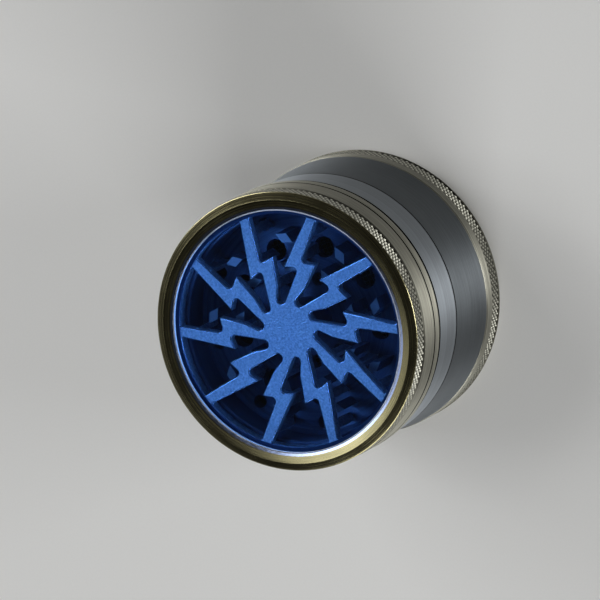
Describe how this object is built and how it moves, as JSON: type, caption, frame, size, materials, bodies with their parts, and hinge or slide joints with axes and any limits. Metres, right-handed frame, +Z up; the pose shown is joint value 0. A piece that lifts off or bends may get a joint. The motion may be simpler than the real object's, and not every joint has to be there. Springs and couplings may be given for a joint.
{
  "type": "herb grinder",
  "caption": "Four-part turned aluminium hand grinder with a clear window over bolt-shaped spokes, diamond teeth, a screen and a base cup.",
  "frame": {"origin": "centre of the ring on which the base stands", "axes": "+Z up the turning axis from the base to the window, +X along one spoke of the lid"},
  "size_m": [0.0624, 0.0624, 0.0456],
  "materials": {
    "base_aluminium": "satin anodised, turned",
    "collector_aluminium": "satin anodised",
    "seal_rubber": "matte",
    "screen_steel": "pressed",
    "woven_wire": "woven wire",
    "spring_steel": "plain",
    "chamber_aluminium": "satin anodised",
    "magnet_plating": "nickel plated",
    "glide_plastic": "low-friction plastic",
    "lid_aluminium": "satin anodised, turned",
    "window_adhesive": "clear",
    "window_acrylic": "clear tinted acrylic"
  },
  "bodies": {
    "base": {"base_cup": "base_aluminium"},
    "seal": {"screen_seal": "seal_rubber"},
    "collector": {"collection_chamber": "collector_aluminium", "screen_hoop": "screen_steel", "screen_mesh": "woven_wire", "screen_clip": "spring_steel"},
    "chamber_magnet": {"chamber_magnet": "magnet_plating"},
    "chamber": {"grinding_chamber": "chamber_aluminium"},
    "glide_ring": {"glide_ring": "glide_plastic"},
    "lid": {"lid": "lid_aluminium", "lid_magnet": "magnet_plating", "window_bond": "window_adhesive", "window": "window_acrylic"}
  },
  "joints": [
    {"name": "collector_rise", "type": "slide", "parent": "base", "child": "seal", "axis": [0, 0, 1], "range_m": [0, 0.005]},
    {"name": "collector_turn", "type": "hinge", "parent": "seal", "child": "collector", "pos_m": [0, 0, 0.005], "axis": [0, 0, 1], "range_deg": [0, 1200]},
    {"name": "chamber_rise", "type": "slide", "parent": "collector", "child": "chamber_magnet", "axis": [0, 0, 1], "range_m": [0, 0.005]},
    {"name": "chamber_turn", "type": "hinge", "parent": "chamber_magnet", "child": "chamber", "pos_m": [0, 0, 0.02], "axis": [0, 0, 1], "range_deg": [0, 1200]},
    {"name": "lid_lift", "type": "slide", "parent": "chamber", "child": "glide_ring", "axis": [0, 0, 1], "range_m": [0, 0.032]},
    {"name": "lid_spin", "type": "hinge", "parent": "glide_ring", "child": "lid", "pos_m": [0, 0, 0.04], "axis": [0, 0, 1], "continuous": true}
  ],
  "couplings": [
    {"joint": "collector_rise", "follows": "collector_turn", "m_per_rad": 0.00023873},
    {"joint": "chamber_rise", "follows": "chamber_turn", "m_per_rad": 0.00023873}
  ]
}
